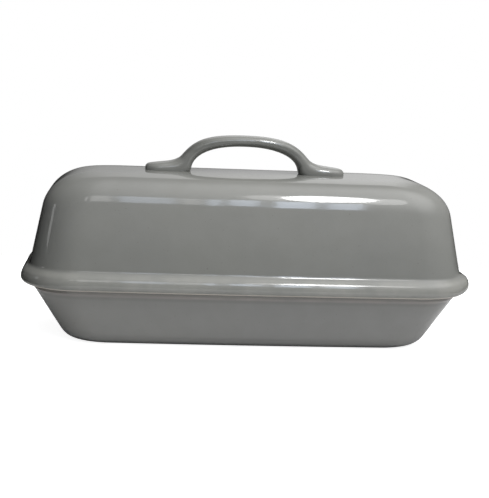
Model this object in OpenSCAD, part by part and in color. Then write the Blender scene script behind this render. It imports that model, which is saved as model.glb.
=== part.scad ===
// Covered bread baker in glazed stoneware: a long sloped dish, a tall domed lid whose lower edge
// is a fat rolled bead, and a strap handle on two flat feet.
// Millimetres. The origin is the middle of the dish's underside, +X runs along its length and
// +Z points up. The lid and the dish are hollow shells, built as skins through stacked outlines.

/* [Plan] */
// Length over the rolled bead
body_len = 375; // [320:1:440]
// Width over the rolled bead at mid length
body_w = 166.5; // [150:0.5:190]
// Plan radius of the bead's corners
corner_r = 46; // [38:1:56]
// How far each long side bows out between its corners
side_bow = 3.5; // [0:0.5:8]
// How far each end bows out between its corners
end_bow = 0.6; // [0:0.1:4]

/* [Dish] */
// Height of the dish from its underside to its rim
dish_h = 49.2; // [44:0.1:60]
// Thickness of the dish's walls
dish_wall = 6; // [5:0.5:8]
// Thickness of the dish's floor
floor_t = 7; // [5:0.5:9]
// Lean of the two end walls from upright, in degrees
end_lean = 31.5; // [20:0.5:36]
// Lean of the two long walls from upright, in degrees
side_lean = 20; // [12:1:26]
// Radius of the turn from the walls to the underside
turn_r = 18.2; // [16:0.2:28]
// Plan radius of the underside's corners
foot_corner_r = 23; // [14:1:26]
// How far the rim stands inside the bead's outer edge
rim_set = 10.8; // [8:0.1:13]
// Width across the rim's top
rim_w = 8; // [7:0.5:10]
// Height of the rim's band
rim_band_h = 4.5; // [3:0.5:7]
// How far the rim's band stands out from the wall below it
rim_proud = 0.8; // [0.4:0.1:1.5]
// Rounding of the rim's edges
rim_edge = 1.2; // [0.6:0.1:1.4]

/* [Lid] */
// Height of the lid from its seat on the rim to its flat top
lid_h = 91.8; // [80:0.1:105]
// Thickness of the lid's walls
lid_wall = 6.5; // [5:0.5:8]
// Thickness of the lid's roof
roof_t = 7; // [5.5:0.5:9]
// Height at which the bead's curve meets the lid's wall
bead_h = 15.3; // [13:0.1:20]
// Height of the bead's widest point
bead_low = 4.7; // [3:0.1:7]
// How far the bead stands out from the lid's wall
bead_out = 7.1; // [5:0.1:8]
// How far the bead's underside rounds in below its widest point
bead_turn = 5; // [3:0.2:6]
// Lean of the lid's walls from upright, in degrees
lid_lean = 11.2; // [6:0.1:14]
// Height of the rounded shoulder over the long walls
side_shoulder_h = 30; // [20:0.5:36]
// Height of the rounded shoulder over the ends
end_shoulder_h = 28.3; // [20:0.1:36]
// Power of the shoulder's curve over the long walls, where 2 is an ellipse and more is a tighter turn
side_shoulder_power = 3.3; // [2:0.1:4]
// Power of the shoulder's curve over the ends
end_shoulder_power = 2.1; // [2:0.1:4]
// Width of the flat land along the top that carries the handle
land_w = 22; // [18:1:60]
// Length of the flat land
land_len = 251; // [240:1:290]
// Plan radius to which the corners tighten on the way up to the land
land_corner_r = 25; // [15:1:30]

/* [Lid lip] */
// How far the locating lip drops inside the dish's mouth
lip_drop = 5; // [3:0.5:8]
// Thickness of the locating lip
lip_t = 4; // [3:0.5:6]
// Clearance all round between the lip and the dish's mouth
lip_clear = 1.5; // [1:0.25:2.5]
// Clearance between the lid's seat and the rim
seat_gap = 0.2; // [0.1:0.05:0.4]

/* [Handle] */
// Length of the handle from foot end to foot end
handle_len = 170; // [150:0.5:190]
// How far the handle stands along the length from the lid's middle
handle_set = -2.5; // [-4:0.5:4]
// Height of the handle above the lid's top
handle_rise = 30.7; // [26:0.1:38]
// Thickness of the grip at its middle
grip_t = 8.4; // [7:0.1:11]
// Width of the grip
grip_w = 22; // [18:1:26]
// Width of the finger gap where it meets the lid
gap_w = 92; // [80:1:96]
// Span of the strap between the places where it rises off its feet
strap_span = 114; // [108:1:124]
// Thickness of the feet
foot_t = 6; // [5:0.5:7.5]
// Width of the feet
foot_w = 24; // [22:1:28]

/* [Hidden] */
// Overall half sizes and the levels of the seat and of the lid's top
half_len = body_len / 2;
half_w = body_w / 2;
seat_z = dish_h + seat_gap;
top_z = seat_z + lid_h;

// Facets: steps round each plan corner, along each long side, along each end and up each curve
corner_steps = 8;
side_steps = 8;
end_steps = 4;
curve_steps = 7;
shoulder_steps = 9;
bead_steps = 6;
turn_steps = 4;

// Largest share of a ring's half width that its corner radius may take
corner_limit_share = 0.9;

// Dish: top of the leaning walls, depth of the upright mouth and radius of the turn inside
wall_top = dish_h - rim_band_h;
mouth_h = lip_drop + 2 * rim_edge;
inner_turn_r = turn_r - dish_wall;
mouth_set = rim_set + rim_w;

// Lid: width in plan of the shoulder over the long walls and over the ends
lid_slope = tan(lid_lean);
wall_run_in = bead_out + (lid_h - bead_h) * lid_slope;
side_shoulder_w = half_w - land_w / 2 - wall_run_in;
end_shoulder_w = half_len - land_len / 2 - wall_run_in;

// Bead: radius of its upper curve and the angle through which that curve turns
bead_rise = bead_h - bead_low;
bead_r = (pow(bead_rise, 2) + pow(bead_out, 2)) / (2 * bead_out);
bead_sweep = asin(bead_rise / bead_r);

// Lip: how far its two faces stand in from the bead's outer edge, and the rounding of its edge
lip_outer = mouth_set + lip_clear;
lip_inner = lip_outer + lip_t;
lip_edge = lip_t / 4;

// Handle: half sizes, and the strap's outer curve as shares of half its span and of its rise
gap_half = gap_w / 2;
strap_half = strap_span / 2;
foot_end = handle_len / 2;
gap_h = handle_rise - grip_t;
strap_shares = [[1, 0.287], [0.79, 0.83], [0.6, 1], [0, 1]];
knee_shares = [1.19, 1.04];
foot_sink = foot_t / 8;
foot_edge = foot_t * 0.8;
tip_angle = 20;

// Handle: steps round a section, round a foot's end, up a knee and along half the strap
section_steps = 16;
tip_steps = 4;
knee_steps = 4;
strap_steps = 8;

// Handle: powers that shape a section, from a square-edged underside on the feet to a rounded grip
foot_power = 0.3;
rise_power = 0.6;
grip_power = 0.75;

// PLAN OUTLINES

// Points of a rounded rectangle of half sizes hx, hy and corner radius r, before its sides bow
function plain_outline(hx, hy, r) = [
    for (q = [0:3])
        let (
            sx = q == 0 || q == 3 ? 1 : -1,
            sy = q < 2 ? 1 : -1,
            middle = [sx * (hx - r), sy * (hy - r)],
            last = middle + r * [cos(90 * q + 90), sin(90 * q + 90)],
            along = q % 2 == 0 ? [-2 * sx * (hx - r), 0] : [0, -2 * sy * (hy - r)],
            steps = q % 2 == 0 ? side_steps : end_steps
        )
        each concat(
            [for (k = [0:corner_steps]) let (a = 90 * (q + k / corner_steps)) middle + r * [cos(a), sin(a)]],
            [for (k = [1:steps - 1]) last + along * k / steps]
        )
];

// One level of a skin: the plan outline set in from the bead's outer edge by in_x at the ends and
// by in_y at the long sides, at height z
function level(in_x, in_y, r, z) =
    let (
        bow_x = end_bow * (half_len - in_x) / half_len,
        bow_y = side_bow * (half_w - in_y) / half_w,
        hx = half_len - in_x - bow_x,
        hy = half_w - in_y - bow_y
    )
    [for (p = plain_outline(hx, hy, min(r, corner_limit_share * hy)))
        let (u = p.x / hx, v = p.y / hy)
        [p.x + bow_x * u * (1 - v * v), p.y + bow_y * v * (1 - u * u), z]];

// A level set in alike all round, with its corners struck from the same centres as the bead's
function even_level(inset, z) = level(inset, inset, corner_r - inset, z);

// A closed skin through levels of equally many points, with a flat cap on the first and the last
module skin(levels) {
    count = len(levels[0]);
    last = len(levels) - 1;
    walls = [for (i = [0:last - 1], j = [0:count - 1])
        let (a = i * count + j, b = i * count + (j + 1) % count)
        each [[a, a + count, b], [b, a + count, b + count]]];
    caps = [
        [for (j = [0:count - 1]) j],
        [for (j = [count - 1:-1:0]) last * count + j]
    ];
    polyhedron(points = [for (ring = levels) each ring], faces = concat(walls, caps), convexity = 6);
}

// DISH

// How far a leaning wall has come in from its top edge at height z, where it stands thick inside
// the outer face and ends in a turn of radius r on the level z0
function wall_run(z, z0, r, lean, thick) =
    let (z_turn = z0 + r * (1 - sin(lean)))
    thick / cos(lean) + (wall_top - max(z, z_turn)) * tan(lean)
    + (z < z_turn ? r * cos(lean) - sqrt(pow(r, 2) - pow(r - (z - z0), 2)) : 0);

// A level of the dish's wall: its corners open out from the foot's radius to the rim's
function dish_level(z, z0, r, thick) =
    let (
        run_x = wall_run(z, z0, r, end_lean, thick),
        run_y = wall_run(z, z0, r, side_lean, thick),
        set_in = rim_set + rim_proud,
        whole = wall_run(0, 0, turn_r, end_lean, 0),
        open = max(0, 1 - (run_x - thick) / whole),
        corner = foot_corner_r + (corner_r - set_in - foot_corner_r) * open
    )
    level(set_in + run_x, set_in + run_y, corner - thick, z);

// Heights up a turn of radius r from the level z0 to where the steeper wall leaves it
function turn_heights(z0, r) =
    [for (k = [0:curve_steps]) z0 + r * (1 - cos((90 - side_lean) * k / curve_steps))];

// Hollow loaf dish with a flat underside and a slim rim
module base_dish() {
    outside = [for (z = turn_heights(0, turn_r)) dish_level(z, 0, turn_r, 0)];
    rim = [
        dish_level(wall_top, 0, turn_r, 0),
        even_level(rim_set, wall_top + rim_proud),
        even_level(rim_set, dish_h - rim_edge),
        even_level(rim_set + rim_edge * (1 - cos(45)), dish_h - rim_edge * (1 - sin(45))),
        even_level(rim_set + rim_edge, dish_h),
        even_level(mouth_set - rim_edge, dish_h),
        even_level(mouth_set - rim_edge * (1 - cos(45)), dish_h - rim_edge * (1 - sin(45))),
        even_level(mouth_set, dish_h - rim_edge),
        even_level(mouth_set, dish_h - mouth_h)
    ];
    hollow = turn_heights(floor_t, inner_turn_r);
    inside = [for (k = [curve_steps:-1:0]) dish_level(hollow[k], floor_t, inner_turn_r, dish_wall)];
    below_mouth = dish_level(dish_h - mouth_h - dish_wall / 2, floor_t, inner_turn_r, dish_wall);
    color([0.45, 0.45, 0.42])
        skin(concat(outside, rim, [below_mouth], inside));
}

// LID

// How far a face of the lid is set in at height z below a top, with a shoulder h high and w wide
function lid_run(z, top, h, w, power) =
    let (up = max(0, z - top + h) / h)
    bead_out + (z - bead_h) * lid_slope + w * (1 - pow(max(0, 1 - pow(up, power)), 1 / power));

// A level of the lid above its bead, roof thick below the outer top and wall thick inside its walls
function lid_level(z, roof, wall) =
    let (
        top = lid_h - roof,
        run_x = lid_run(z, top, end_shoulder_h - roof, end_shoulder_w - wall, end_shoulder_power),
        run_y = lid_run(z, top, side_shoulder_h - roof, side_shoulder_w - wall, side_shoulder_power),
        tight = (run_x - bead_out) / (wall_run_in + end_shoulder_w - bead_out),
        corner = corner_r - bead_out + (land_corner_r - corner_r + bead_out) * tight,
        set_in = wall / cos(lid_lean)
    )
    level(run_x + set_in, run_y + set_in, corner - wall * (1 - tight), seat_z + z);

// Heights up the shoulder to a top, closer together towards it
function shoulder_heights(roof) =
    let (h = max(side_shoulder_h, end_shoulder_h) - roof)
    [for (k = [0:shoulder_steps]) lid_h - roof - h * (1 - sin(90 * k / shoulder_steps))];

// Domed cover, open below, with its rolled bead and a lip that drops inside the dish's mouth
module lid_shell() {
    under = shoulder_heights(roof_t);
    ceiling = [for (k = [shoulder_steps:-1:0]) lid_level(under[k], roof_t, lid_wall)];
    lip = [
        lid_level(bead_h, roof_t, lid_wall),
        even_level(lip_inner, seat_z + bead_low),
        even_level(lip_inner, seat_z - lip_drop + lip_edge),
        even_level(lip_inner - lip_edge, seat_z - lip_drop),
        even_level(lip_outer + lip_edge, seat_z - lip_drop),
        even_level(lip_outer, seat_z - lip_drop + lip_edge),
        even_level(lip_outer, seat_z)
    ];
    turn = [for (k = [0:turn_steps - 1])
        let (a = 90 * k / turn_steps)
        even_level(bead_turn * (1 - sin(a)), seat_z + bead_low * (1 - cos(a)))];
    bead = [for (k = [0:bead_steps])
        let (a = bead_sweep * k / bead_steps)
        even_level(bead_r * (1 - cos(a)), seat_z + bead_low + bead_r * sin(a))];
    outside = [for (z = shoulder_heights(0)) lid_level(z, 0, 0)];
    color([0.5, 0.5, 0.47])
        skin(concat(ceiling, lip, turn, bead, outside));
}

// HANDLE

// Point at t on the cubic curve through four control points
function cubic(p, t) =
    pow(1 - t, 3) * p[0] + 3 * t * pow(1 - t, 2) * p[1] + 3 * t * t * (1 - t) * p[2] + pow(t, 3) * p[3];

// Raises a sine or cosine to a power and keeps its sign
function curl(v, power) = sign(v) * pow(abs(v), power);

// One cross-section of the strap, from its inner point to its outer one in the plane of length and
// height. An under power near 0 squares its lower side, and nothing reaches below the lid's top.
function section(inner, outer, w, under) =
    [for (k = [0:section_steps - 1])
        let (
            a = 360 * (k + 0.5) / section_steps,
            power = sin(a) < 0 ? under : grip_power,
            p = inner + (outer - inner) * (1 + curl(sin(a), power)) / 2
        )
        [p.x, w / 2 * curl(cos(a), power), max(0, p.y)]];

// Sections of one half, from the foot's end to the middle of the grip, for the +X side
function half_handle() =
    let (
        rise_curve = [for (s = strap_shares) [s[0] * strap_half, s[1] * handle_rise]],
        knee_x = knee_shares[0] * strap_half,
        knee = [[knee_x, foot_t], [knee_shares[1] * strap_half, foot_t], rise_curve[0]],
        end_round = foot_w / 2,
        rise_w = (foot_w + grip_w) / 2
    )
    concat(
        [for (k = [0:tip_steps])
            let (
                a = tip_angle + (90 - tip_angle) * k / tip_steps,
                x = foot_end - end_round * (cos(tip_angle) - cos(a)),
                near = min(1, end_round * (1 - cos(a)) / foot_edge),
                t = foot_t * sqrt(near * (2 - near))
            )
            section([x, -foot_sink], [x, t], foot_w * sin(a), foot_power)],
        [for (k = [0:knee_steps])
            let (
                u = k / knee_steps,
                outer = pow(1 - u, 2) * knee[0] + 2 * u * (1 - u) * knee[1] + u * u * knee[2],
                inner = [knee_x + (gap_half - knee_x) * u, -foot_sink * (1 - u)],
                power = foot_power + (rise_power - foot_power) * u
            )
            section(inner, outer, foot_w + (rise_w - foot_w) * u, power)],
        [for (k = [1:strap_steps])
            let (
                u = k / strap_steps,
                power = rise_power + (grip_power - rise_power) * min(1, 2 * u)
            )
            section(
                [gap_half * cos(90 * u), gap_h * sin(90 * u)],
                cubic(rise_curve, u),
                rise_w + (grip_w - rise_w) * u,
                power
            )]
    );

// Strap handle with two flat feet that lie on the lid's land
module lid_handle() {
    half = half_handle();
    turned = [for (k = [len(half) - 2:-1:0]) [for (p = half[k]) [-p.x, p.y, p.z]]];
    color([0.47, 0.47, 0.44])
        translate([handle_set, 0, top_z])
            skin(concat(half, turned));
}

base_dish();
lid_shell();
lid_handle();
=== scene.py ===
import math

import bmesh
import bpy
from mathutils import Matrix, Vector


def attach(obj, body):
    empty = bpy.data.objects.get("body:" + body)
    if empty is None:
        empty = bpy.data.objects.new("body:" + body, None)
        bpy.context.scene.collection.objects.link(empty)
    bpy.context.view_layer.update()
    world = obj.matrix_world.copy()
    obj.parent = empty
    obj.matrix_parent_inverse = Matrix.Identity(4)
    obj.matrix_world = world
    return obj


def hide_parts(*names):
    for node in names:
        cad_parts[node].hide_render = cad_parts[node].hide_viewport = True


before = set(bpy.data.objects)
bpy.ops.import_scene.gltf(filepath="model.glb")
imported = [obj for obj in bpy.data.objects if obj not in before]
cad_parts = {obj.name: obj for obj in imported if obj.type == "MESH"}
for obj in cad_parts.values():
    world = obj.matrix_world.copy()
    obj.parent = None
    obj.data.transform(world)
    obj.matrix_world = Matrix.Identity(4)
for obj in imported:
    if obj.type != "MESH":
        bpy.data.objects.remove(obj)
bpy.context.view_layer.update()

mm = 0.001

# BASE DISH
# A long loaf dish in grey stoneware, cast in one piece. Its walls slope in to a flat underside, and a
# slim rim round its mouth carries the lid. It is glazed but for its underside and the top of its rim,
# which are wiped bare so that they don't stick to the kiln shelf or to the lid.

# Plan of the whole baker, taken over the lid's bead
half_len = 187.5 * mm
half_w = 83.25 * mm
corner_r = 46 * mm
side_bow = 3.5 * mm
end_bow = 0.6 * mm

# The dish's profile
dish_h = 49.2 * mm
dish_wall = 6 * mm
floor_t = 7 * mm
end_lean = math.radians(31.5)
side_lean = math.radians(20)
turn_r = 18.2 * mm
inner_turn_r = turn_r - dish_wall
rim_set = 10.8 * mm
rim_w = 8 * mm
rim_h = 4.5 * mm
rim_edge = 1.2 * mm
rim_proud = 0.8 * mm
wall_top = dish_h - rim_h
mouth_z = dish_h - 7.4 * mm

# Cuts in the first outline and the least length of its straight sides, the loop that keeps an edge
# crisp, and a length that counts as none
corner_cuts = 12
side_cuts = 15
end_cuts = 5
straight_min = 30 * mm
edge_loop = 0.6 * mm
tiny = 0.01 * mm

# Heights at which the dish is cut across, besides those of its turns, and the loops on its two flats
mouth_levels = (dish_h - 2.5 * mm, mouth_z + 1 * mm, mouth_z)
inner_levels = (mouth_z - dish_wall / 2, mouth_z - dish_wall, 28 * mm)
rim_levels = (dish_h - 2.4 * mm, wall_top + rim_proud + 0.5 * mm, wall_top + rim_proud)
outer_levels = (wall_top - 1.5 * mm, 36 * mm, 27 * mm, 18 * mm)
floor_loop = 3 * mm
underside_loop = 1.5 * mm


def pick(piece, mode, wanted):
    """Selects only the points, edges or faces of the piece that answer to wanted."""
    bpy.ops.mesh.select_mode(type=mode)
    bpy.ops.mesh.select_all(action="DESELECT")
    form = bmesh.from_edit_mesh(piece.data)
    for part in {"VERT": form.verts, "EDGE": form.edges, "FACE": form.faces}[mode]:
        part.select_set(wanted(part))
    form.select_flush_mode()
    bmesh.update_edit_mesh(piece.data)


def chosen_reach(piece):
    """Half length, half width and height of what is selected."""
    spots = [v.co for v in bmesh.from_edit_mesh(piece.data).verts if v.select]
    return max(p.x for p in spots), max(p.y for p in spots), sum(p.z for p in spots) / len(spots)


def bow_out(piece, axis, bow, halves, z):
    """Carries the middle of the two sides that face the axis out by the bow, less so towards the corners."""
    scale = [1, 1, 1]
    scale[axis] += bow / halves[axis]
    pick(piece, "VERT", lambda v: abs(v.co[1 - axis]) < tiny)
    bpy.ops.transform.resize(value=scale, center_override=(0, 0, z), use_proportional_edit=True,
                             proportional_edit_falloff="INVERSE_SQUARE", proportional_size=halves[1 - axis])


def start_outline(name, inset, z):
    """A flat face in the baker's plan, set in from the bead's edge, with round corners and bowed sides."""
    bpy.ops.object.select_all(action="DESELECT")
    bpy.ops.mesh.primitive_plane_add(size=2, location=(0, 0, 0))
    piece = bpy.context.active_object
    piece.name = name
    piece.data.name = name
    bpy.ops.object.mode_set(mode="EDIT")
    bpy.ops.mesh.select_all(action="SELECT")
    halves = (half_len - inset - end_bow, half_w - inset - side_bow)
    bpy.ops.transform.resize(value=(*halves, 1), center_override=(0, 0, 0))
    bpy.ops.transform.translate(value=(0, 0, z))
    bpy.ops.mesh.bevel(offset=corner_r - inset, offset_type="OFFSET", segments=corner_cuts, profile=0.5,
                       affect="VERTICES", clamp_overlap=False)
    for axis, cuts in ((0, side_cuts), (1, end_cuts)):
        pick(piece, "EDGE", lambda e: abs(e.verts[0].co[axis] - e.verts[1].co[axis]) > straight_min)
        bpy.ops.mesh.subdivide(number_cuts=cuts)
    bow_out(piece, 1, side_bow, halves, z)
    bow_out(piece, 0, end_bow, halves, z)
    pick(piece, "FACE", lambda f: True)
    return piece


def draw_in(inset, out):
    """Insets the chosen face alike all round and carries it outwards along its normal."""
    bpy.ops.mesh.inset(thickness=inset, depth=out, use_boundary=True, use_even_offset=True)


def angle_pairs(start, end, steps):
    """The angles from start to end, each of them with the next one."""
    angles = [start + (end - start) * k / steps for k in range(steps + 1)]
    return zip(angles, angles[1:])


def draw_curve(width, height, steps=3, first_flat=False):
    """Insets the chosen face through a quarter round: upright first, or flat first."""
    for a, b in angle_pairs(0, math.pi / 2, steps):
        if first_flat:
            draw_in(width * (math.sin(b) - math.sin(a)), height * (math.cos(a) - math.cos(b)))
        else:
            draw_in(width * (math.cos(a) - math.cos(b)), height * (math.sin(b) - math.sin(a)))


def draw_flat(width):
    """Insets the chosen face by a width, with a loop near each of its edges."""
    for step in (edge_loop, width - 2 * edge_loop, edge_loop):
        draw_in(step, 0)


def draw_to(piece, half_x, half_y, z):
    """Extrudes the chosen face to a height and scales it to a half length and a half width."""
    now_x, now_y, now_z = chosen_reach(piece)
    bpy.ops.mesh.extrude_region_move(TRANSFORM_OT_translate={"value": (0, 0, z - now_z)})
    bpy.ops.transform.resize(value=(half_x / now_x, half_y / now_y, 1), center_override=(0, 0, z))


def draw_straight(piece, levels):
    """Extrudes the chosen face straight from one level to the next."""
    for z in levels:
        draw_to(piece, *chosen_reach(piece)[:2], z)


def close_below(piece):
    """Fills the open edge left by the first outline and chooses that face."""
    bpy.ops.mesh.select_all(action="DESELECT")
    bpy.ops.mesh.select_mode(type="EDGE")
    bpy.ops.mesh.select_non_manifold()
    low = chosen_reach(piece)[2]
    bpy.ops.mesh.edge_face_add()
    bpy.ops.mesh.select_all(action="SELECT")
    bpy.ops.mesh.normals_make_consistent(inside=False)
    pick(piece, "FACE", lambda f: len(f.verts) > 4 and abs(f.calc_center_median().z - low) < tiny)


def finish_smooth(piece, levels):
    """Turns all faces outwards, leaves edit mode, rounds the mesh by subdivision and shades it smooth."""
    bpy.ops.mesh.select_all(action="SELECT")
    bpy.ops.mesh.normals_make_consistent(inside=False)
    bpy.ops.object.mode_set(mode="OBJECT")
    bpy.ops.object.modifier_add(type="SUBSURF")
    rounding = piece.modifiers[-1]
    rounding.levels = levels
    rounding.render_levels = levels
    bpy.ops.object.modifier_apply(modifier=rounding.name)
    bpy.ops.object.shade_smooth()


def dish_inset(z, low, radius, lean, thick):
    """How far a leaning wall stands in from the bead's edge at height z, with a turn on the level low."""
    turn_z = low + radius * (1 - math.sin(lean))
    run = thick / math.cos(lean) + (wall_top - max(z, turn_z)) * math.tan(lean)
    if z < turn_z:
        run += radius * math.cos(lean) - math.sqrt(radius ** 2 - (radius - (z - low)) ** 2)
    return rim_set + rim_proud + run


def draw_wall(piece, levels, low, radius, thick):
    """Extrudes a leaning wall of the dish down through the levels and round the turn on the level low."""
    steps = 9
    turned = [(math.pi / 2 - side_lean) * k / steps for k in range(steps, -1, -1)]
    for z in (*levels, *(low + radius * (1 - math.cos(a)) for a in turned)):
        draw_to(piece, half_len - dish_inset(z, low, radius, end_lean, thick),
                half_w - dish_inset(z, low, radius, side_lean, thick), z)


dish = start_outline("dish", rim_set, dish_h - rim_edge)
draw_curve(rim_edge, rim_edge)
draw_flat(rim_w - 2 * rim_edge)
draw_curve(rim_edge, -rim_edge, first_flat=True)
draw_straight(dish, mouth_levels)
draw_wall(dish, inner_levels, floor_t, inner_turn_r, dish_wall)
draw_in(floor_loop, 0)
close_below(dish)
draw_straight(dish, rim_levels)
draw_in(rim_proud, rim_proud)
draw_wall(dish, outer_levels, 0, turn_r, 0)
draw_in(underside_loop, 0)
finish_smooth(dish, 1)
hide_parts("base_dish")
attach(dish, "base")

# The bare clay, what tints the glaze in patches, and the tint of the painted shade
bare_clay = (0.54, 0.506, 0.462, 1)
clay_grit = (0.45, 0.405, 0.35, 1)
clay_roughness = 0.82
cloud_tint = (0.93, 0.93, 0.95, 1)
mottle_tint = (0.96, 0.957, 0.95, 1)
speck_colour = (0.09, 0.08, 0.065, 1)
painted_shade_tint = (0.66, 0.67, 0.66, 1)

# How far apart nodes are laid out, across and down
node_across, node_down = 190, 170


def node(tree, kind, place, **settings):
    """Adds a node and sets its named inputs and properties."""
    made = tree.nodes.new(kind)
    made.location = (place[0] * node_across, place[1] * node_down)
    for key, value in settings.items():
        name = key.replace("_", " ")
        if name in made.inputs:
            made.inputs[name].default_value = value
        else:
            setattr(made, key, value)
    return made


def feed(tree, value, socket):
    """Gives an input what it takes, which is another node's output or a plain value."""
    if hasattr(value, "is_output"):
        tree.links.new(value, socket)
    else:
        socket.default_value = value


def join(tree, first, second, place, operation="MULTIPLY"):
    """A number worked out from two others."""
    made = node(tree, "ShaderNodeMath", place, operation=operation)
    feed(tree, first, made.inputs[0])
    feed(tree, second, made.inputs[1])
    return made.outputs[0]


def slope(tree, value, low, high, to_low, to_high, place, kind="SMOOTHSTEP"):
    """A number that goes from to_low to to_high while the value goes from low to high."""
    made = node(tree, "ShaderNodeMapRange", place, interpolation_type=kind, From_Min=low, From_Max=high,
                To_Min=to_low, To_Max=to_high)
    feed(tree, value, made.inputs["Value"])
    return made.outputs["Result"]


def mix(tree, first, second, share, place, kind="RGBA", blend="MIX"):
    """Mixes two colours by a share, or two numbers if the kind is FLOAT."""
    made = node(tree, "ShaderNodeMix", place, data_type=kind, blend_type=blend)
    start, result = {"RGBA": (6, 2), "FLOAT": (2, 0)}[kind]
    feed(tree, first, made.inputs[start])
    feed(tree, second, made.inputs[start + 1])
    feed(tree, share, made.inputs[0])
    return made.outputs[result]


def band(tree, height, low, high, soft, share, place):
    """A mask that reaches its share where the height lies between low and high, with soft edges."""
    column, row = place
    up = slope(tree, height, low - soft, low, 0.0, share, place)
    down = slope(tree, height, high, high + soft, 1.0, 0.0, (column, row - 1.5))
    return join(tree, up, down, (column + 1, row))


def build_glaze_group():
    """Fired glaze: cloudy tone, fine specks, thin edges that show the clay, a paler mix that is also used as
    painted light, painted shade, and a gently rippled skin.
    """
    tree = bpy.data.node_groups.new("fired glaze", "ShaderNodeTree")
    for way, name, kind in (("INPUT", "Colour", "Color"), ("INPUT", "Thin glaze and painted light colour", "Color"),
                            ("INPUT", "Thin glaze and painted light", "Float"), ("INPUT", "Painted shade", "Float"),
                            ("OUTPUT", "Colour", "Color"), ("OUTPUT", "Roughness", "Float"),
                            ("OUTPUT", "Height", "Float")):
        tree.interface.new_socket(name=name, in_out=way, socket_type="NodeSocket" + kind)
    given = node(tree, "NodeGroupInput", (0, 0)).outputs
    result = node(tree, "NodeGroupOutput", (9, 0)).inputs
    spot = node(tree, "ShaderNodeTexCoord", (0, -3)).outputs["Object"]

    def patches(row, scale, detail, roughness, over, to):
        """Soft patches, whose noise goes over a range while they go from one number to another."""
        made = node(tree, "ShaderNodeTexNoise", (1, row), Scale=scale, Detail=detail, Roughness=roughness)
        tree.links.new(spot, made.inputs["Vector"])
        return slope(tree, made.outputs["Fac"], *over, *to, (2, row), "LINEAR")

    # Tone: broad clouds, a finer mottle and sparse dark specks from the clay
    cloud = patches(4, scale=9, detail=3, roughness=0.55, over=(0.3, 0.7), to=(0.0, 1.0))
    mottle = patches(3, scale=70, detail=4, roughness=0.6, over=(0.3, 0.7), to=(0.0, 1.0))
    speck = patches(2, scale=620, detail=2, roughness=0.5, over=(0.70, 0.78), to=(0.0, 0.35))
    tone = mix(tree, given["Colour"], cloud_tint, cloud, (3, 3), blend="MULTIPLY")
    tone = mix(tree, tone, mottle_tint, mottle, (4, 3), blend="MULTIPLY")
    tone = mix(tree, tone, speck_colour, speck, (5, 3))
    # Thin glaze lets the paler clay through in an uneven line, and the same paler mix is also used as painted
    # light; the last mix darkens the tone as painted shade
    breaks = patches(0, scale=45, detail=3, roughness=0.5, over=(0.35, 0.65), to=(0.35, 1.0))
    uneven = join(tree, given["Thin glaze and painted light"], breaks, (3, 0))
    tone = mix(tree, tone, given["Thin glaze and painted light colour"], uneven, (6, 2))
    tone = mix(tree, tone, painted_shade_tint, given["Painted shade"], (7, 2), blend="MULTIPLY")
    tree.links.new(tone, result["Colour"])
    # Gloss: nearly mirror smooth, a little duller in patches
    gloss = patches(-1.5, scale=38, detail=3, roughness=0.55, over=(0.3, 0.7), to=(0.05, 0.085))
    tree.links.new(gloss, result["Roughness"])
    # Skin, in millimetres: slow ripples of the cast wall under a fine orange peel
    ripple = patches(-3, scale=16, detail=1, roughness=0.4, over=(0.0, 1.0), to=(0.0, 0.30))
    peel = patches(-4.5, scale=330, detail=1, roughness=0.4, over=(0.0, 1.0), to=(0.0, 0.006))
    tree.links.new(join(tree, ripple, peel, (4, -3), "ADD"), result["Height"])
    return tree


glaze_group = build_glaze_group()


def glaze_material(piece, name, colour, painted_shade_bands, thin_glaze_and_painted_light_colour=None, thin_glaze_and_painted_light_bands=(), bare_bands=()):
    """A glaze of its own for one piece. A band is two heights, how soft its edges are and its share."""
    material = bpy.data.materials.new(name)
    material.use_nodes = True
    tree = material.node_tree
    shader = tree.nodes["Principled BSDF"].inputs
    shader["IOR"].default_value = 1.52
    surface = node(tree, "ShaderNodeGroup", (-3, 1), node_tree=glaze_group)
    surface.inputs["Colour"].default_value = colour
    spot = node(tree, "ShaderNodeTexCoord", (-8, 0)).outputs["Object"]
    axes = node(tree, "ShaderNodeSeparateXYZ", (-7, 0))
    tree.links.new(spot, axes.inputs["Vector"])

    def bands(places, row):
        """One mask for several bands, the strongest of them at each height."""
        masks = [band(tree, axes.outputs["Z"], *place, (-6, row - 3 * k)) for k, place in enumerate(places)]
        strongest = masks[0]
        for k, one in enumerate(masks[1:], 1):
            strongest = join(tree, strongest, one, (-4, row - 3 * k), "MAXIMUM")
        return strongest

    # Paler bands are thin glaze and painted light, and the darker bands are painted shade
    if thin_glaze_and_painted_light_bands:
        surface.inputs["Thin glaze and painted light colour"].default_value = thin_glaze_and_painted_light_colour
        tree.links.new(bands(thin_glaze_and_painted_light_bands, 4), surface.inputs["Thin glaze and painted light"])
    tree.links.new(bands(painted_shade_bands, -3), surface.inputs["Painted shade"])
    colour_now, roughness_now = surface.outputs["Colour"], surface.outputs["Roughness"]
    if bare_bands:
        bare = bands(bare_bands, -9)
        grit = node(tree, "ShaderNodeTexNoise", (-4, -8), Scale=900.0, Detail=3.0)
        tree.links.new(spot, grit.inputs["Vector"])
        clay = mix(tree, bare_clay, clay_grit, grit.outputs["Fac"], (-3, -8))
        colour_now = mix(tree, colour_now, clay, bare, (-2, 1))
        roughness_now = mix(tree, roughness_now, clay_roughness, bare, (-2, -2), kind="FLOAT")
    tree.links.new(colour_now, shader["Base Color"])
    tree.links.new(roughness_now, shader["Roughness"])
    skin = node(tree, "ShaderNodeBump", (-1, -3), Strength=1.0, Distance=mm)
    tree.links.new(surface.outputs["Height"], skin.inputs["Height"])
    tree.links.new(skin.outputs["Normal"], shader["Normal"])
    piece.data.materials.append(material)


# The dish's paler band lightens the rim band in the bead's shade as painted light; its darker bands are
# painted shade on the bottom turn and in a line under the rim band
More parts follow.
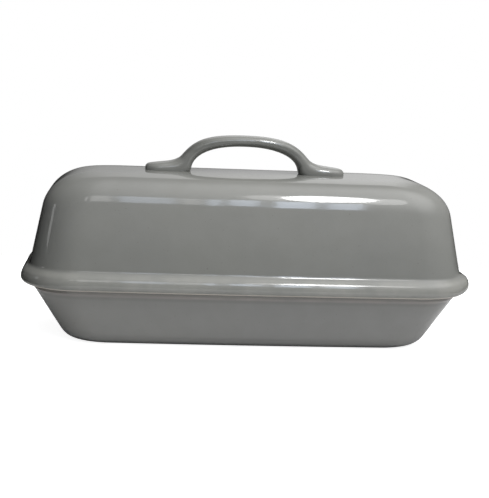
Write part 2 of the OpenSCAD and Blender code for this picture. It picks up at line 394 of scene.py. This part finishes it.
glaze_material(dish, "dish glaze", (0.262, 0.260, 0.243, 1), thin_glaze_and_painted_light_colour=(0.33, 0.302, 0.284, 1),
               thin_glaze_and_painted_light_bands=[(wall_top - 0.2 * mm, wall_top + 1.4 * mm, 1.2 * mm, 0.7)],
               painted_shade_bands=[(-1 * mm, 2.5 * mm, 4 * mm, 1),
                             (wall_top - 2.2 * mm, wall_top - 1.6 * mm, 2 * mm, 0.25)],
               bare_bands=[(-1 * mm, 0.25 * mm, 0.3 * mm, 1),
                           (dish_h - 0.2 * mm, dish_h + 1 * mm, 0.3 * mm, 1)])

# LID
# The tall cover, cast hollow in the same clay. A fat bead is rolled round its lower edge for the hands
# and rests on the dish's rim, and a low lip inside it keeps the lid from sliding off. Its top is gently
# crowned, with a flat land along the middle where the handle is stuck on.

seat_gap = 0.2 * mm
seat_z = dish_h + seat_gap
lid_h = 91.8 * mm
top_z = seat_z + lid_h
lid_wall = 6.5 * mm
roof_t = 7 * mm
lid_lean = math.radians(11.2)
lid_slope = math.tan(lid_lean)
land_half_w = 11 * mm
land_half_len = 125.5 * mm

# The shoulder's height, the power of its curve, and how far in from the bead's edge the land begins
shoulders = {"side": (30 * mm, 3.3, half_w - land_half_w),
             "end": (28.3 * mm, 2.1, half_len - land_half_len)}

# The bead, from its turn on the seat up to the hollow where it meets the wall
bead_h = 14.6 * mm
bead_low = 4.7 * mm
bead_out = 7.1 * mm
bead_turn = 5 * mm
bead_rise = bead_h - bead_low
bead_r = (bead_rise ** 2 + bead_out ** 2) / (2 * bead_out)
hollow_r = 4 * mm

# The bead turns more sharply over part of its round, and that part's radius is a share of the whole one's
sharp_from, sharp_to, sharp = math.radians(27), math.radians(43), 0.62

# The bead was rolled by hand and is fuller at the right-hand end, by this much along, across and up
fuller_by = (1.4 * mm, 0, 1.6 * mm)
fuller_from = 178 * mm
fuller_mid = 9 * mm
fuller_half_h = 3 * mm
fuller_reach = 12 * mm

# The lip that drops into the dish
lip_outer = rim_set + rim_w + 1.5 * mm
lip_t = 4 * mm
lip_drop = 5 * mm
lip_edge = 1 * mm
lip_levels = (seat_z - 0.8 * mm, seat_z - lip_drop + lip_edge)

# Heights above the seat at which the lid is cut across outside and inside, besides its shoulder's, and
# the loop on its top and under its roof
outer_heights = (bead_h + 6 * mm, bead_h + 18 * mm, bead_h + 32 * mm)
inner_heights = (bead_h, bead_h + 6 * mm, 40 * mm)
top_loop = 2 * mm


def hollow_place():
    """Where the hollow leaves the wall, and how far the bead's curve turns before it runs into the hollow."""
    across = bead_out - bead_r - hollow_r * math.cos(lid_lean)
    up = bead_rise + hollow_r * math.sin(lid_lean)
    along = across * math.sin(lid_lean) + up * math.cos(lid_lean)
    run = math.sqrt(along ** 2 - across ** 2 - up ** 2 + (bead_r + hollow_r) ** 2) - along
    return (bead_h + run * math.cos(lid_lean),
            math.atan2(up + run * math.cos(lid_lean), -across - run * math.sin(lid_lean)))


hollow_top, bead_sweep = hollow_place()
bead_marks = (0, sharp_from, sharp_to, bead_sweep)


def bead_shares():
    """Shares of the radius below and above the sharper part that keep the bead's depth and height."""
    across = [math.cos(a) - math.cos(b) for a, b in zip(bead_marks, bead_marks[1:])]
    up = [math.sin(b) - math.sin(a) for a, b in zip(bead_marks, bead_marks[1:])]
    rest_across, rest_up = sum(across) - sharp * across[1], sum(up) - sharp * up[1]
    whole = across[0] * up[2] - across[2] * up[0]
    return ((rest_across * up[2] - across[2] * rest_up) / whole, sharp,
            (across[0] * rest_up - rest_across * up[0]) / whole)


def lid_inset(height, which, roof, wall):
    """How far the lid's face stands in from the bead's edge at a height above the seat."""
    round_h, power, whole = shoulders[which]
    round_h -= roof
    wide = whole - bead_out - (lid_h - bead_h) * lid_slope - wall
    up = max(0.0, (height - (lid_h - roof) + round_h) / round_h)
    curve = 1 - max(0.0, 1 - up ** power) ** (1 / power)
    return bead_out + (height - bead_h) * lid_slope + wide * curve + wall / math.cos(lid_lean)


def draw_dome(piece, heights, roof, wall, steps):
    """Extrudes the lid's wall up through the heights and round the shoulder to the top or the roof."""
    round_h = shoulders["side"][0] - roof
    shares = [math.sin(math.pi / 2 * k / steps) for k in range(steps + 1)]
    for height in (*heights, *(lid_h - roof - round_h * (1 - share) for share in shares)):
        draw_to(piece, half_len - lid_inset(height, "end", roof, wall),
                half_w - lid_inset(height, "side", roof, wall), seat_z + height)


lid = start_outline("lid", 0, seat_z + bead_low)
for share, start, end, steps in zip(bead_shares(), bead_marks, bead_marks[1:], (3, 4, 3)):
    for a, b in angle_pairs(start, end, steps):
        draw_in(share * bead_r * (math.cos(a) - math.cos(b)), share * bead_r * (math.sin(b) - math.sin(a)))
for a, b in angle_pairs(bead_sweep, lid_lean, 5):
    draw_in(hollow_r * (math.cos(b) - math.cos(a)), hollow_r * (math.sin(a) - math.sin(b)))
draw_dome(lid, (hollow_top + 0.5 * mm, *outer_heights), 0, 0, 16)
draw_in(top_loop, 0)
close_below(lid)
draw_curve(bead_turn, bead_low, 5)
draw_flat(lip_outer - bead_turn)
draw_straight(lid, lip_levels)
draw_curve(lip_edge, lip_edge)
draw_in(lip_t - 2 * lip_edge, 0)
draw_curve(lip_edge, -lip_edge, first_flat=True)
draw_straight(lid, (seat_z, seat_z + bead_low))
draw_dome(lid, inner_heights, roof_t, lid_wall, 14)
draw_in(top_loop, 0)
pick(lid, "VERT", lambda v: v.co.x > fuller_from and abs(v.co.z - seat_z - fuller_mid) < fuller_half_h)
bpy.ops.transform.translate(value=fuller_by, use_proportional_edit=True, proportional_edit_falloff="SMOOTH",
                            proportional_size=fuller_reach)
finish_smooth(lid, 1)
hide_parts("lid_shell")
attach(lid, "lid")
# The lid's paler band is thinner glaze over the bead; its broad, soft darker band is painted shade, darkest
# on the lower wall just above the bead and fading above and below
glaze_material(lid, "lid glaze", (0.236, 0.237, 0.219, 1), thin_glaze_and_painted_light_colour=(0.30, 0.297, 0.273, 1),
               thin_glaze_and_painted_light_bands=[(seat_z + 2 * mm, seat_z + 12 * mm, 4 * mm, 1)],
               painted_shade_bands=[(seat_z + 12 * mm, seat_z + 22 * mm, 42 * mm, 0.4)],
               bare_bands=[(seat_z - 9 * mm, seat_z + 1.2 * mm, 0.5 * mm, 1)])

# LID HANDLE
# A pulled strap of the same clay, bent into an arch with its two ends pressed out into flat feet. The
# feet are stuck to the lid with slip before the first firing, and the glaze runs over both.

handle_set = -2.5 * mm
handle_half = 85 * mm
handle_rise = 31.1 * mm
grip_t = 9.3 * mm
grip_w = 22 * mm
gap_half = 46 * mm
gap_h = handle_rise - grip_t
strap_half = 57 * mm
strap_w = 23 * mm
foot_w = 24 * mm
tip_t = 5.2 * mm
knee_t = 7.15 * mm
knee_x = 1.224 * strap_half

# The outer curve's control points, as shares of the strap's half length and of the handle's rise
outer_points = ((1, 0.287), (0.79, 0.83), (0.6, 1), (0, 1))
# The power that squares the inner curve up, and where along the two curves the strap leaves the foot
inner_power = 0.88
leaves = 0.1
# The middle points of the curves into the foot, and how far down the foot runs, to be cut off later
hollow_bend = Vector((1.005 * strap_half, 0, knee_t + 1 * mm))
heel_bend = Vector((45 * mm, 0, -8 * mm))
sunk = -0.6 * knee_t
# The strap's section: its corners, how far they are filled out, and what makes up for the later rounding
section_sides = 20
fill = 0.25
swell = 1.016
# The arch was bent by hand and sits a little to one side of its feet
arch_aside = -1 * mm
arch_half = 20 * mm
arch_reach = 48 * mm


def strap_outer(u):
    """Point of the strap's outer curve, from where it leaves the foot at 0 to its middle at 1."""
    weights = [(1 - u) ** 3, 3 * u * (1 - u) ** 2, 3 * u * u * (1 - u), u ** 3]
    return Vector((sum(w * p[0] for w, p in zip(weights, outer_points)) * strap_half, 0,
                   sum(w * p[1] for w, p in zip(weights, outer_points)) * handle_rise))


def strap_inner(u):
    """Point of the strap's inner curve beside the outer one."""
    turned = math.pi / 2 * u
    return Vector((gap_half * abs(math.cos(turned)) ** inner_power, 0,
                   gap_h * math.sin(turned) ** inner_power))


def foot_top(x):
    """Height of a foot's top, which falls from the knee to the tip."""
    return knee_t + (tip_t - knee_t) * (x - knee_x) / (handle_half - knee_x)


def strap_sections():
    """Inner point, outer point and width of each section, from the middle of the grip to the foot's end."""
    sections = []
    for k in range(12, -1, -1):
        u = leaves + (1 - leaves) * k / 12
        sections.append((strap_inner(u), strap_outer(u), strap_w + (grip_w - strap_w) * u))
    # The knee: a hollow above, and below it a heel that runs on under the lid's surface
    hollow = (Vector((knee_x, 0, knee_t)), hollow_bend, strap_outer(leaves))
    heel = (Vector((knee_x, 0, sunk)), heel_bend, strap_inner(leaves))
    for u in (0.86, 0.72, 0.54, 0.36, 0.18, 0):
        outer, inner = ((1 - u) ** 2 * p + 2 * u * (1 - u) * q + u * u * r for p, q, r in (hollow, heel))
        sections.append((inner, outer, foot_w + (strap_w - foot_w) * u))
    # The foot, whose end is round in plan and is rounded over from above
    turns = [math.radians(a) for a in (90, 72, 56, 42, 30, 20)]
    for a in turns:
        x = handle_half - foot_w / 2 * (math.cos(turns[-1]) - math.cos(a))
        near = min(1.0, foot_w / 2 * (1 - math.cos(a)) / (0.8 * tip_t))
        over = Vector((x, 0, foot_top(x) * math.sqrt(near * (2 - near))))
        sections.append((Vector((x, 0, sunk)), over, foot_w * math.sin(a)))
    return sections


bpy.ops.object.select_all(action="DESELECT")
sections = strap_sections()
bpy.ops.mesh.primitive_circle_add(vertices=section_sides, radius=1, fill_type="NGON", location=(0, 0, 0))
handle = bpy.context.active_object
handle.name = "handle"
handle.data.name = "handle"
bpy.ops.object.mode_set(mode="EDIT")
bpy.ops.mesh.select_all(action="SELECT")
bpy.ops.transform.rotate(value=math.pi / 2, orient_axis="Y", center_override=(0, 0, 0))
bpy.ops.transform.resize(value=(1, grip_w / 2, grip_t / 2), center_override=(0, 0, 0))
for corner in range(1, section_sides // 4):
    # Fills the round section out towards its corners
    a = 2 * math.pi * corner / section_sides
    across, up = math.cos(a), math.sin(a)
    pick(handle, "VERT", lambda v: abs(abs(v.co.y) - across * grip_w / 2) < 0.1 * mm)
    bpy.ops.transform.resize(value=(1, across ** -fill, up ** -fill), center_override=(0, 0, 0))
inner, outer, wide = sections[0]
middle, half, tilt = (inner + outer) / 2, (outer - inner).length / 2, 0.0
bpy.ops.mesh.select_all(action="SELECT")
bpy.ops.transform.resize(value=(1, swell, swell), center_override=(0, 0, 0))
bpy.ops.transform.translate(value=middle)
pick(handle, "FACE", lambda f: True)
for inner, outer, width in sections[1:]:
    # Carries the section on to its next place, and turns and scales it to suit
    centre = (inner + outer) / 2
    across = outer - inner
    new_tilt = math.atan2(across.x, across.z)
    bpy.ops.mesh.extrude_region_move(TRANSFORM_OT_translate={"value": centre - middle})
    bpy.ops.transform.rotate(value=-(new_tilt - tilt), orient_axis="Y", center_override=centre)
    scale = across.length / 2 / half
    bpy.ops.transform.resize(value=(scale, width / wide, scale), center_override=centre)
    middle, half, wide, tilt = centre, across.length / 2, width, new_tilt
# One half is drawn so far, and a mirror makes the other
bpy.ops.mesh.select_all(action="SELECT")
bpy.ops.mesh.normals_make_consistent(inside=False)
pick(handle, "FACE", lambda f: all(abs(v.co.x) < tiny for v in f.verts))
bpy.ops.mesh.delete(type="FACE")
bpy.ops.object.mode_set(mode="OBJECT")
bpy.ops.object.modifier_add(type="MIRROR")
mirror = handle.modifiers[-1]
mirror.merge_threshold = tiny
bpy.ops.object.modifier_apply(modifier=mirror.name)
bpy.ops.object.mode_set(mode="EDIT")
bpy.ops.mesh.select_all(action="SELECT")
bpy.ops.mesh.remove_doubles(threshold=tiny)
pick(handle, "VERT", lambda v: abs(v.co.x) < arch_half)
bpy.ops.transform.translate(value=(arch_aside, 0, 0), use_proportional_edit=True,
                            proportional_edit_falloff="SMOOTH", proportional_size=arch_reach)
bpy.ops.mesh.select_all(action="SELECT")
bpy.ops.transform.translate(value=(handle_set, 0, top_z))
finish_smooth(handle, 2)
# What runs on below the lid's top is cut off flat
bpy.ops.object.mode_set(mode="EDIT")
bpy.ops.mesh.select_all(action="SELECT")
bpy.ops.mesh.bisect(plane_co=(0, 0, top_z), plane_no=(0, 0, 1), use_fill=True, clear_inner=True)
bpy.ops.object.mode_set(mode="OBJECT")
bpy.ops.object.shade_smooth_by_angle(angle=math.radians(50))
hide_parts("lid_handle")
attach(handle, "lid")
# The darker band is painted shade on the grip's underside and on the legs at that height
glaze_material(handle, "handle glaze", (0.226, 0.227, 0.209, 1),
               painted_shade_bands=[(top_z + 18 * mm, top_z + 24 * mm, 5 * mm, 0.6)])

# STUDIO
# A pale table under the baker, in a white room that is dark towards the left and below the table. Tall
# windows stand in front and show in the glaze: a bright upper pane with dimmer edges, over lower and
# mostly bluer ones. One more low pane stands at the left.

table_size = (0.67, 1.25)
table_place = (0.085, -0.27)
table_grey = 0.66
# Seen directly, the table grows from nearly to fully white between two ovals about the baker's middle
oval_squash = 0.6
oval_from, oval_to, oval_white = 0.09, 0.19, 0.92

bpy.ops.object.select_all(action="DESELECT")
bpy.ops.mesh.primitive_plane_add(size=1, location=(0, 0, 0))
table = bpy.context.active_object
table.name = "table"
bpy.ops.object.mode_set(mode="EDIT")
bpy.ops.mesh.select_all(action="SELECT")
bpy.ops.transform.resize(value=(*table_size, 1), center_override=(0, 0, 0))
bpy.ops.transform.translate(value=(*table_place, 0))
bpy.ops.object.mode_set(mode="OBJECT")


def seen_directly(tree, place):
    """A mask for what the camera sees straight or through something clear."""
    path = node(tree, "ShaderNodeLightPath", place).outputs
    return join(tree, path["Is Camera Ray"], path["Is Transmission Ray"], (place[0] + 1, place[1]), "MAXIMUM")


cloth = bpy.data.materials.new("white table")
cloth.use_nodes = True
tree = cloth.node_tree
shader = tree.nodes["Principled BSDF"].inputs
shader["Base Color"].default_value = (table_grey, table_grey, table_grey, 1)
shader["Roughness"].default_value = 0.9
shader["Specular IOR Level"].default_value = 0.0
spot = node(tree, "ShaderNodeTexCoord", (-8, -1)).outputs["Object"]
oval = node(tree, "ShaderNodeVectorMath", (-7, -1), operation="MULTIPLY")
oval.inputs[1].default_value = (oval_squash, 1, 1)
tree.links.new(spot, oval.inputs[0])
distance = node(tree, "ShaderNodeVectorMath", (-6, -1), operation="LENGTH")
tree.links.new(oval.outputs[0], distance.inputs[0])
whiter = slope(tree, distance.outputs["Value"], oval_from, oval_to, oval_white, 1.0, (-5, -1))
tree.links.new(join(tree, seen_directly(tree, (-5, 2)), whiter, (-2, 1)), shader["Emission Strength"])
shader["Emission Color"].default_value = (1, 1, 1, 1)
table.data.materials.append(cloth)

world = bpy.data.worlds.new("white room")
scene = bpy.context.scene
scene.world = world
world.use_nodes = True
tree = world.node_tree
sky = tree.nodes["Background"].inputs
spot = node(tree, "ShaderNodeTexCoord", (-9, 0)).outputs["Generated"]
axes = node(tree, "ShaderNodeSeparateXYZ", (-8, 0))
tree.links.new(spot, axes.inputs["Vector"])
# A direction's three parts are 1 at most: to the right, behind the baker and overhead
across, back, up = axes.outputs["X"], axes.outputs["Y"], axes.outputs["Z"]
# The wall behind, brighter towards its top, and the lower light of all the rest
wall_up = 0.6
wall = slope(tree, up, 0.0, wall_up, 0.50, 1.15, (-7, 4), "LINEAR")
low_light = slope(tree, up, 0.0, wall_up, 0.15, 0.30, (-7, 2))
# The brightest part of the ceiling lies over the front, to the right
toward = node(tree, "ShaderNodeVectorMath", (-8, 3), operation="DOT_PRODUCT")
toward.inputs[1].default_value = (0.24, -0.20, 0.95)
tree.links.new(spot, toward.inputs[0])
overhead = slope(tree, toward.outputs["Value"], 0.58, 1.0, 0.0, 1.58, (-7, 0))
# The wall ends towards the front, at the ceiling and to the right
behind = slope(tree, back, -0.25, 0.15, 0.0, 1.0, (-7, -2))
under_ceiling = slope(tree, up, 0.605, 0.635, 1.0, 0.0, (-7, -4))
not_right = slope(tree, across, 0.20, 0.36, 1.0, 0.0, (-7, -5))
on_wall = join(tree, join(tree, behind, under_ceiling, (-6, -3)), not_right, (-5, -3))
lit = mix(tree, join(tree, low_light, overhead, (-6, 1), "ADD"), wall, on_wall, (-5, 1), kind="FLOAT")
# Dark to the left, and under the level of the table
leftward = slope(tree, across, -0.44, 0.50, 0.02, 1.52, (-7, -6))
above = slope(tree, up, -0.02, 0.07, 0.05, 1.0, (-7, -8))
room = join(tree, lit, join(tree, leftward, above, (-6, -7)), (-4, 0))
# The camera itself sees plain white
sky["Color"].default_value = (1, 1, 1, 1)
tree.links.new(mix(tree, room, 1.0, seen_directly(tree, (-6, 6)), (-3, 1), kind="FLOAT"), sky["Strength"])

# How far off the windows stand, measured from a point at the front of the lid's shoulder
window_far = 1.6
window_from = Vector((0, -60 * mm, 120 * mm))
day, blue_day = (1, 1, 1), (0.74, 0.84, 1.0)


def window(name, left, right, low, high, glow, colour, shape="RECTANGLE", aside=0):
    """A pane that the camera doesn't see: left and right in metres, low, high and aside in degrees."""
    round_by = math.radians(aside)
    angle = math.radians((low + high) / 2)
    pane = bpy.data.lights.new(name, "AREA")
    pane.shape = shape
    pane.size = right - left
    pane.size_y = 2 * window_far * math.tan(math.radians((high - low) / 2))
    area = pane.size * pane.size_y * (math.pi / 4 if shape == "ELLIPSE" else 1)
    pane.energy = glow * math.pi * area
    pane.color = colour
    lamp = bpy.data.objects.new(name, pane)
    offset = Vector(((left + right) / 2, -window_far * math.cos(angle), window_far * math.sin(angle)))
    lamp.location = window_from + Matrix.Rotation(round_by, 3, "Z") @ offset
    lamp.rotation_euler = (math.pi / 2 - angle, 0, round_by)
    lamp.visible_camera = False
    scene.collection.objects.link(lamp)


window("upper pane", 0.232, 0.475, 45, 72, 23, day, "ELLIPSE")
window("upper pane, left edge", 0.14, 0.32, 47, 69, 3.0, day, "ELLIPSE")
window("upper pane, right edge", 0.40, 0.635, 43, 67, 3.6, day, "ELLIPSE")
window("lower pane, right", 0.366, 0.45, 25, 43, 6.3, blue_day)
window("lower pane, middle", 0.221, 0.332, 25, 44, 7.5, blue_day)
window("lower pane, left", 0.105, 0.18, 27, 45, 6, blue_day)
window("far pane 1", 0.037, 0.077, 26, 44, 5.2, blue_day)
window("far pane 2", -0.04, 0.02, 27, 44, 2.3, day)
window("far pane 3", -0.19, -0.055, 27, 45, 3.4, blue_day)
window("far pane 4", -0.38, -0.215, 28, 45, 2.4, day)
window("far pane 5", -0.60, -0.46, 30, 45, 2.0, day)
window("side pane", -0.09, 0.09, 7, 16, 1.5, day, aside=-92)

# CAMERA
# Low in front of the baker and a little to its left, as the photograph was taken. It stands a metre
# off, which the photograph doesn't settle.

camera_far = 1.0
elevation, yaw, roll = (math.radians(a) for a in (9.03, 5.46, 2.41))

# The photograph's width and middle row, the row of the point that the camera stands round, and the
# focal length, all in pixels
photo_width = 489
middle_row = 249
looked_row = 243.53
lens_px = 1157.5
sensor = 36

looked_at = Vector((0, 0, seat_z + 30 * mm))
below = camera_far * (middle_row - looked_row) / lens_px / math.cos(elevation)
aim = looked_at - Vector((0, 0, below))
away = Vector((-math.sin(yaw) * math.cos(elevation), -math.cos(yaw) * math.cos(elevation),
               math.sin(elevation)))
lens = bpy.data.cameras.new("camera")
lens.sensor_fit = "HORIZONTAL"
lens.sensor_width = sensor
lens.lens = lens_px / photo_width * sensor
lens.clip_start = 0.01
camera = bpy.data.objects.new("camera", lens)
scene.collection.objects.link(camera)
stand = looked_at + camera_far * away
turn = (stand - aim).to_track_quat("Z", "Y").to_matrix().to_4x4() @ Matrix.Rotation(roll, 4, "Z")
camera.matrix_world = Matrix.Translation(stand) @ turn
scene.camera = camera
scene.view_settings.view_transform = "Standard"
